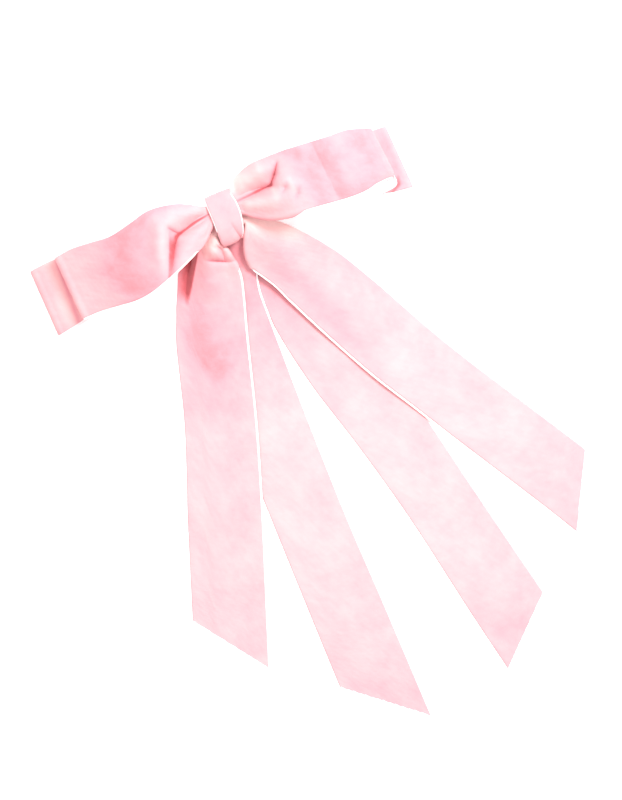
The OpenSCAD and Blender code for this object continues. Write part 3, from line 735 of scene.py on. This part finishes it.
FRONT_LEFT = [(-4, 1, 19.4, -2.5, -8.6, 19.4), (-9, -0.5, 18.8, -7.8, -10.6, 19.2),
              (-18, -5, 14.6, -7.9, -14.2, 19.2), (-28, -11, 7.6, -5.4, -16.8, 18.4),
              (-33.8, -17.5, 4.2, -4.2, -22, 15.2), (-37.4, -25, 3.2, -3.2, -27.4, 10.4),
              (-41, -32.5, 2.8, -3.6, -33, 7.2), (-43.6, -38.5, 2.6, -6.4, -43, 4.4),
              (-48.6, -51, 1.9, -12.2, -62, 2.9), (-59.4, -88.5, 1.2, -24, -103, 2.6),
              (-75.3, -132, 0.9, -38.4, -146.5, 1.9), (-90, -174, FLAT, -53, -188, FLAT),
              (-102, -208, FLAT, -65, -222, FLAT)]
FRONT_LEFT_ROLL = ((0, 4), (-24, 4), (-28, 2), (-30.5, 0), (-400, 0))
FRONT_RIGHT = [(2.5, -8.6, 20.2, 4, 1, 20.4), (7.2, -9.6, 20.2, 9, -1, 20.2),
               (4.4, -13.6, 19.4, 14, -5.6, 19), (2.9, -16.4, 17.6, 19, -10, 17.2),
               (1.0, -21, 14.2, 25, -14.5, 15), (0.3, -25.6, 11, 30, -19, 12.8),
               (0.9, -30.5, 8.2, 34, -23, 10.8), (4.3, -36, 6.2, 38, -27.6, 8.8),
               (8.4, -43, 4.8, 42.6, -33.6, 6.4), (12.9, -53.5, 3.7, 47.6, -41, 4.2),
               (24.4, -78, 2.9, 58.3, -60.5, 2.3), (36.4, -101.5, 2.6, 71.2, -86, 1.7),
               (49.3, -123.5, 2.4, 83.8, -108.9, 1.2), (60.6, -143, 1.2, 95.2, -128, 0.7),
               (80.5, -176.5, FLAT, 113.2, -158, FLAT), (92, -196, FLAT, 124.7, -177.5, FLAT),
               (105, -219, FLAT, 138, -201, FLAT)]
FRONT_RIGHT_ROLL = ((0, 5.5), (-26, 5.5), (-29.5, 2.5), (-32.5, 0), (-400, 0))
BACK_LEFT = [(-6, 0, 17.6, 0, -8.6, 17.6), (-10, -2, 17, 8.2, -9.4, 16.8), (-17, -10, 11.6, 9, -15, 13.4),
             (-26, -21, 4.6, 8.2, -22, 8.2), (-33, -34, 1.6, 5, -30, 4.4),
             (-36.4, -48, 0.5, 2.4, -41, 1.6), (-37, -60, FLAT, 1.9, -55, 1.4),
             (-37.2, -85, FLAT, 1.4, -74, 1.2), (-37.2, -110, FLAT, 0.9, -104, 0.4),
             (-37.2, -160, FLAT, 0.6, -160, FLAT), (-37, -215, FLAT, 1.8, -215, FLAT),
             (-36.4, -290, FLAT, 3, -290, FLAT)]
BACK_RIGHT = [(0, -8.6, 16.6, 6, 0, 16.6), (-6, -11, 13.6, 10, -2, 15.8), (-4, -18, 6.6, 17, -10, 10.4),
              (-2, -30, 1.0, 27, -22, 4.2), (-0.5, -46, FLAT, 34, -35, 1.4),
              (0.2, -64, FLAT, 37.5, -54, FLAT), (6.2, -95.4, FLAT, 42.6, -85.7, FLAT),
              (16.5, -132.5, FLAT, 53.8, -124, FLAT), (26.7, -175.4, FLAT, 62.9, -167, FLAT),
              (37, -229.4, FLAT, 74.7, -222, FLAT), (45, -268, FLAT, 83, -260, FLAT)]

FRONT_LEFT_RELIEF = [
    ("round", [(-9, -12), (-14, -17), (-18, -24), (-24, -38)], [1.0, 3.0, 3.6, 1.0], [4, 5.5, 7.0, 9]),
    ("round", [(-9.5, -10.5), (-12.5, -13.5)], [2.0, 2.0], [3.0, 3.2]),
    ("cliff", [(-18, -11.5), (-25.4, -22.4), (-34.2, -35.5)], [-13, -11, -5, -2.5, 0], [4, 4, 3, 2]),
    ("cusp", [(-17, -18.6), (-13, -20), (-9, -21.8), (-6, -23.2)],
     [-0.8, -3.2, -3.4, -1.6], [1.0, 1.3, 1.3, 1.2]),
    ("cusp", [(-8.4, -15.6), (-8.8, -19), (-9, -21.6)], [-2.0, -2.4, -2.4], [1.0, 1.1, 1.1]),
    ("round", [(-14, -14.6), (-11.6, -17.6), (-10.8, -19.6)], [0.8, 1.8, 1.4], [2.0, 2.2, 2.0]),
]
FRONT_RIGHT_RELIEF = [
    ("round", [(9, -8), (13, -18), (18, -30), (26, -46)], [0.4, 1.6, 1.8, 0.5], [4, 6, 8, 10]),
]
# Tone marks on the front left tail: mottled pile tone, painted shade and painted light
FRONT_LEFT_NAP_AND_SHADE = [("round", [(-30, -36), (-28, -62), (-38, -80)], [0.5, 0.7, 0.35], [14, 15, 16]),
                  # painted shade in the wedge under the left loop
                  ("brush", [(-18, -11.5), (-25.4, -22.4), (-34.2, -35.5)],
                   [2.4, 2.4, 2.3, 1.8, 0], [9, 8, 7]),
                  ("round", [(-32, -70), (-37, -50)], [0.4, 0.3], [7, 7]),
                  # painted light on the lobes below the knot, which lie in the loops' shade
                  ("round", [(-10, -10), (-12.5, -12.5), (-13.5, -15.5)],
                   [-2.4, -1.9, -0.9], [2.6, 3.2, 3.2]),
                  ("round", [(-6, -14), (-5.6, -19)], [-0.5, -0.4], [2.4, 2.4]),
                  ("round", [(-52, -128), (-50, -165)], [-0.1, -0.1], [18, 18]),
                  # painted shade in the crease below the knot
                  ("round", [(-16, -18.4), (-13, -19.8), (-9, -21.6)], [0.8, 1.2, 1.2], [0.9, 1.0, 1.0])]
# painted light on the tail's top where the right loop shades it; the rest is mottled pile tone
FRONT_RIGHT_NAP_AND_SHADE = [("round", [(9, -8), (18, -13), (28, -19)], [-1.6, -1.8, -1.4], [5, 5.5, 5.5]),
                   ("round", [(17, -36), (24, -56), (36, -84)], [0.4, 0.4, 0.3], [7, 8, 8]),
                   ("round", [(60, -100), (90, -150)], [-0.25, -0.25], [22, 22])]
# painted shade in the gap between the front tails; the rest is mottled pile tone
BACK_LEFT_NAP_AND_SHADE = [("round", [(-1, -18), (0, -30), (2, -38)], [0.6, 0.6, 0.4], [5, 5, 4]),
                 ("round", [(-6, -45), (-8, -90)], [0.5, 0.1], [10, 12]),
                 ("round", [(-12, -108), (-18, -140), (-18, -200)], [-0.35, -0.3, -0.15], [20, 24, 24]),
                 ("round", [(-4, -262), (-20, -245)], [0.2, 0.1], [16, 18])]
BACK_RIGHT_NAP = [("round", [(10, -45), (18, -80)], [0.6, -0.1], [14, 14]),
                  ("round", [(34, -130), (48, -200)], [-0.3, -0.25], [24, 24]),
                  ("round", [(48, -255), (60, -235)], [0.2, 0.15], [16, 18])]


def make_tails(materials):
    tail("front_left_ribbon", "front_left_tail", FRONT_LEFT, ((-91.3, -177.5), (-62.5, -217)),
         FRONT_LEFT_RELIEF, FRONT_LEFT_NAP_AND_SHADE, materials, rolled_right_edge, FRONT_LEFT_ROLL)
    tail("front_right_ribbon", "front_right_tail", FRONT_RIGHT, ((101.6, -209), (121.4, -171.8)),
         FRONT_RIGHT_RELIEF, FRONT_RIGHT_NAP_AND_SHADE, materials, rolled_edge, FRONT_RIGHT_ROLL)
    tail("back_left_ribbon", "back_left_tail", BACK_LEFT, ((-37, -235), (2.6, -267.5)),
         [], BACK_LEFT_NAP_AND_SHADE, materials)
    tail("back_right_ribbon", "back_right_tail", BACK_RIGHT, ((45.3, -259), (76.3, -229.5)),
         [], BACK_RIGHT_NAP, materials)


# ------------------------------------------------------------------ knot

# Round the knot, seen along the clip: (y, height, left edge, right edge)
WRAP_ROWS = [(0, 13.45, -7.3, 7.3), (-5.2, 13.5, -7.3, 7.3), (-9.5, 14.6, -7.2, 6.8),
             (-13.4, 16.6, -7.0, 5.0), (-14.6, 19.4, -7.2, 3.4), (-12.8, 23, -7.6, 4.6),
             (-8.2, 26, -7.4, 6.2), (-3.4, 27.1, -7.2, 7.0), (0, 27.4, -7.2, 7.1), (3.4, 27.2, -7.3, 6.8),
             (6.4, 26.1, -7.4, 6.2), (8.5, 23.6, -7.4, 6.8), (8.9, 20.6, -7.3, 7.1),
             (8.2, 16.8, -7.3, 7.0), (5.4, 13.9, -7.3, 7.3)]

WRAP_CREASE = [("cusp", [(0.4, -5), (1.0, -9), (2.2, -14.6)], [-0.1, -0.9, -1.4], [0.7, 1.0, 1.1])]
# The ends meet under the plate
WRAP_SEAM = [("cusp", [(-8, 0.2), (8, -0.2)], [-0.4, -0.4], [0.3, 0.3])]


def make_wrap(materials):
    loop = np.asarray(WRAP_ROWS, float)
    ring = np.concatenate([loop[-2:], loop, loop[:3]])
    fine = spline(ring, np.linspace(2, len(loop) + 2, 40 * len(loop) + 1))[:-1]
    run = np.concatenate([[0.0], np.cumsum(np.linalg.norm(np.diff(fine[:, :2], axis=0), axis=1))])
    count = int(run[-1] / 0.5)
    at = np.linspace(0, run[-1], count, endpoint=False)
    y, z, low, high = (np.interp(at, run, fine[:, k]) for k in range(4))
    a = columns(WRAP_W, WRAP_SELVEDGE, 0.5)
    share = across_share(a, WRAP_W, high - low, WRAP_SELVEDGE)
    x = low[:, None] + (high - low)[:, None] * share
    grid = np.stack([x, np.broadcast_to(y[:, None], x.shape), np.broadcast_to(z[:, None], x.shape)], axis=2)
    n = grid_normals(np.concatenate([grid[-3:], grid, grid[:3]]))[3:-3]
    near_edge = np.maximum(1.35 * WRAP_SELVEDGE - a, 0)
    tuck = (ease((-7.5 - y) / 2.5) * ease((z - 16) / 3))[:, None] * near_edge[None, :]
    grid[:, :, 0] += 1.8 * tuck
    crown = 0.5 * (1 - (2 * share - 1) ** 4)
    across = grid[:, :, 1]
    crease = relief(x, across, WRAP_CREASE) * (z > 17)[:, None]
    seam = relief(x, across, WRAP_SEAM) * (z < 17)[:, None]
    grid = grid + n * (-(crown + crease + seam - 1.1 * tuck))[:, :, None]
    piece = ribbon_mesh("knot_wrap", grid, a, WRAP_W, WRAP_SELVEDGE, materials,
                        0.1 * np.ones((count, 1)), closed=True, up=-1.0)
    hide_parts("centre_wrap")
    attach(piece, "bow")


# ------------------------------------------------------------------ felt and thread

THREAD_R = 0.24
STITCH_R = 0.2
THREAD_TURNS = 6
TUBE_SIDES = 10
TWIST = 1.3                             # length in which the thread's two plies turn once
PLATE_CURVE = 202.82                    # radius of the arched plate's upper face
# The turns of thread round the gathered ribbons, seen along the clip: (y, height)
THREAD_LOOP = [(0, 16.36), (-9, 16.36), (-12.6, 17.2), (-13.3, 19.6), (-11.4, 22.5), (-7.2, 25.3),
               (-3.8, 26.15), (0, 26.25), (3.4, 26.15), (5.9, 25.4), (7.5, 23.2), (7.9, 20.4),
               (6.9, 17.4), (5, 16.36)]


def add_piece(name, points, faces, material):
    """A smooth closed mesh from points in millimetres above the table."""
    placed = np.asarray(points, float) * MM
    placed[:, 2] += TABLE
    mesh = bpy.data.meshes.new(name)
    mesh.from_pydata(placed.tolist(), [], faces)
    mesh.materials.append(material)
    mesh.validate()
    mesh.update()
    piece = bpy.data.objects.new(name, mesh)
    bpy.context.scene.collection.objects.link(piece)
    sharp_edges(piece)
    return piece


def thread_tube(path, radius):
    """Two twisted plies drawn as one tube with a turning waist, thinning away at both ends."""
    path = np.asarray(path, float)
    along = np.gradient(path, axis=0)
    along /= np.linalg.norm(along, axis=1, keepdims=True)
    side = np.cross(along, (0.0, 0.3, 1.0) if abs(along[0, 2]) < 0.5 else (1.0, 0.0, 0.0))
    for k in range(1, len(path)):
        side[k] = side[k - 1] - along[k] * np.dot(side[k - 1], along[k])
    side /= np.linalg.norm(side, axis=1, keepdims=True)
    other = np.cross(along, side)
    run = np.concatenate([[0.0], np.cumsum(np.linalg.norm(np.diff(path, axis=0), axis=1))])
    thin = np.sqrt(np.clip(np.minimum(run, run[-1] - run) / (2 * radius), 0.02, 1.0))
    turn = np.linspace(0, 2 * math.pi, TUBE_SIDES, endpoint=False)
    waist = 1.0 - 0.3 * np.sin(turn[None, :] - (run * 2 * math.pi / TWIST)[:, None]) ** 2
    ring = waist * thin[:, None] * radius
    points = (path[:, None, :] + side[:, None, :] * (ring * np.cos(turn))[:, :, None]
              + other[:, None, :] * (ring * np.sin(turn))[:, :, None]).reshape(-1, 3)
    faces = []
    for k in range(len(path) - 1):
        here, there = TUBE_SIDES * k, TUBE_SIDES * (k + 1)
        for m in range(TUBE_SIDES):
            n = (m + 1) % TUBE_SIDES
            faces.append((here + m, here + n, there + n, there + m))
    last = TUBE_SIDES * (len(path) - 1)
    faces.append(tuple(range(TUBE_SIDES))[::-1])
    faces.append(tuple(range(last, last + TUBE_SIDES)))
    return points, faces


def make_gather_thread(material):
    """Turns of doubled sewing thread, laid side by side over the gathers."""
    loop = np.asarray(THREAD_LOOP, float)
    ring = np.concatenate([loop[-1:], loop, loop[:2]])
    fine = spline(ring, np.linspace(1, len(loop) + 1, 30 * len(loop) + 1))[:-1]
    count = len(fine)
    steps = np.arange(THREAD_TURNS * count)
    pitch = 0.65
    x = (steps / count - THREAD_TURNS / 2) * pitch + 0.06 * wander(steps / 40, steps * 0, 5, 3)
    path = np.stack([x, fine[steps % count, 0], fine[steps % count, 1]], axis=1)
    piece = add_piece("gathering_turns", *thread_tube(path, THREAD_R), material)
    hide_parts("gather_thread")
    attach(piece, "bow")


def make_stitches(material):
    """Small slanted stitches that close the wrap under the plate, each sunk into the pile at both ends."""
    slant = math.radians(35)
    points, faces = [], []
    for k, x in enumerate((-5.6, -3.36, -1.12, 1.12, 3.36, 5.6)):
        reach = 1.5 + 0.12 * math.sin(7 * k)
        t = np.linspace(-1, 1, 17)
        y = reach * math.cos(slant) * t
        path = np.stack([x - reach * math.sin(slant) * t, y, 12.62 + 0.5 * t ** 4], axis=1)
        more, quads = thread_tube(path, STITCH_R)
        faces += [tuple(v + len(more) * k for v in quad) for quad in quads]
        points.append(more)
    piece = add_piece("closing_stitches", np.concatenate(points), faces, material)
    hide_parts("wrap_stitches")
    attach(piece, "bow")


def make_felt(material):
    """A strip of felt with round ends, cut by hand and glued along the arched plate."""
    low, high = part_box("felt_backing")
    length, width = (high.x - low.x) / MM, (high.y - low.y) / MM
    thick, crown = 1.0, (high.z - TABLE) / MM
    straight, radius = (length - width) / 2, width / 2
    turn = np.linspace(0, 2 * math.pi, 240, endpoint=False)
    bulge = radius * np.stack([np.cos(turn), np.sin(turn)], axis=1)
    outline = bulge + np.stack([straight * np.clip(np.cos(turn) * 6, -1, 1), 0 * turn], axis=1)
    snips = 0.10 * wander(outline[:, 0], outline[:, 1], 3.1, 21)
    outline -= 0.12 * bulge / radius * (1 + snips[:, None])
    # rings from the middle of the upper side, over the rim and back to the middle of the lower side
    reach = np.concatenate([np.linspace(0.02, 0.94, 14), [0.975, 0.992, 1.0, 1.0, 0.992, 0.97],
                            np.linspace(0.94, 0.02, 14)])
    level = np.concatenate([np.ones(14), [0.98, 0.9, 0.72, 0.28, 0.1, 0.0], np.zeros(14)])
    rings = reach[:, None, None] * outline[None, :, :]
    x, y = rings[:, :, 0], rings[:, :, 1]
    arch = np.sqrt(PLATE_CURVE ** 2 - x ** 2) - PLATE_CURVE
    fluff = 0.03 * wander(x, y, 2.3, 8) * level[:, None]
    z = crown - thick + 0.01 + arch + (thick - 0.05) * level[:, None] + fluff
    points = np.stack([x, y, z], axis=2).reshape(-1, 3)
    count, sides = len(reach), len(turn)
    faces = []
    for k in range(count - 1):
        for m in range(sides):
            n = (m + 1) % sides
            faces.append((k * sides + m, (k + 1) * sides + m, (k + 1) * sides + n, k * sides + n))
    faces.append(tuple(range(sides)))
    faces.append(tuple(range((count - 1) * sides, count * sides))[::-1])
    piece = add_piece("felt_pad", points, faces, material)
    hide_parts("felt_backing")
    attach(piece, "bow")


# ------------------------------------------------------------------ stage

def make_camera():
    """Straight above, turned so that the bow rises to the right, and aimed at the middle of the tails."""
    height, turn = 1.8, math.radians(-22)
    view_long = 0.394
    data = bpy.data.cameras.new("camera")
    data.sensor_width = 36
    data.lens = data.sensor_width * height / view_long
    data.clip_end = 10
    camera = bpy.data.objects.new("camera", data)
    bpy.context.scene.collection.objects.link(camera)
    camera.location = (0.0045, -0.1006, TABLE + height)
    camera.rotation_euler = (0, 0, turn)
    bpy.context.scene.camera = camera


def area_light(name, place, aim, size, power):
    data = bpy.data.lights.new(name, "AREA")
    data.shape = "DISK"
    data.size = size
    data.energy = power
    light = bpy.data.objects.new(name, data)
    bpy.context.scene.collection.objects.link(light)
    light.location = place
    light.rotation_mode = "QUATERNION"
    light.rotation_quaternion = (Vector(place) - Vector(aim)).to_track_quat("Z", "Y")


def make_stage():
    bpy.ops.mesh.primitive_plane_add(size=6, location=(0, -0.1, TABLE - 0.0001))
    floor = bpy.context.object
    floor.name = "table_top"
    floor.data.materials.append(table_top())
    middle = (0.01, -0.1, 0)
    area_light("key", (0.62, 0.26, 1.15), middle, 0.4, 22)
    area_light("top", (-0.2, 0.1, 1.5), middle, 1.4, 9)
    world = bpy.data.worlds.new("studio")
    world.use_nodes = True
    world.node_tree.nodes["Background"].inputs["Color"].default_value = (1, 1, 1, 1)
    world.node_tree.nodes["Background"].inputs["Strength"].default_value = 0.85
    bpy.context.scene.world = world
    bpy.context.scene.view_settings.view_transform = "Standard"


# ------------------------------------------------------------------ the model

def dress(node, material):
    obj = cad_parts[node]
    obj.data.materials.clear()
    obj.data.materials.append(material)


make_camera()
ribbon_materials = [velvet(), selvedge(), satin_back()]
make_loops(ribbon_materials)
make_tails(ribbon_materials)
make_wrap(ribbon_materials)

plate_steel = plated_steel("plate_steel", (0.62, 0.62, 0.63), (0.78, 0.78, 0.79), (0.22, 0.38),
                           (0.08, 1, 1))
spring_steel = plated_steel("spring_steel", (0.58, 0.59, 0.61), (0.74, 0.75, 0.77), (0.16, 0.3),
                            (0.08, 1, 1))
pin_steel = plated_steel("pin_steel", (0.60, 0.60, 0.60), (0.80, 0.80, 0.80), (0.18, 0.3), (1, 1, 1))
for name in ("top_plate", "hinge_bracket", "clasp_base", "clasp_arm"):
    dress(name, plate_steel)
for name in ("tension_spring", "clasp_prong_front", "clasp_prong_back"):
    dress(name, spring_steel)
for name in ("hinge_pin", "hinge_rivet", "clasp_rivet"):
    dress(name, pin_steel)
sewing_thread = thread()
make_gather_thread(sewing_thread)
make_stitches(sewing_thread)
make_felt(felt())

make_stage()
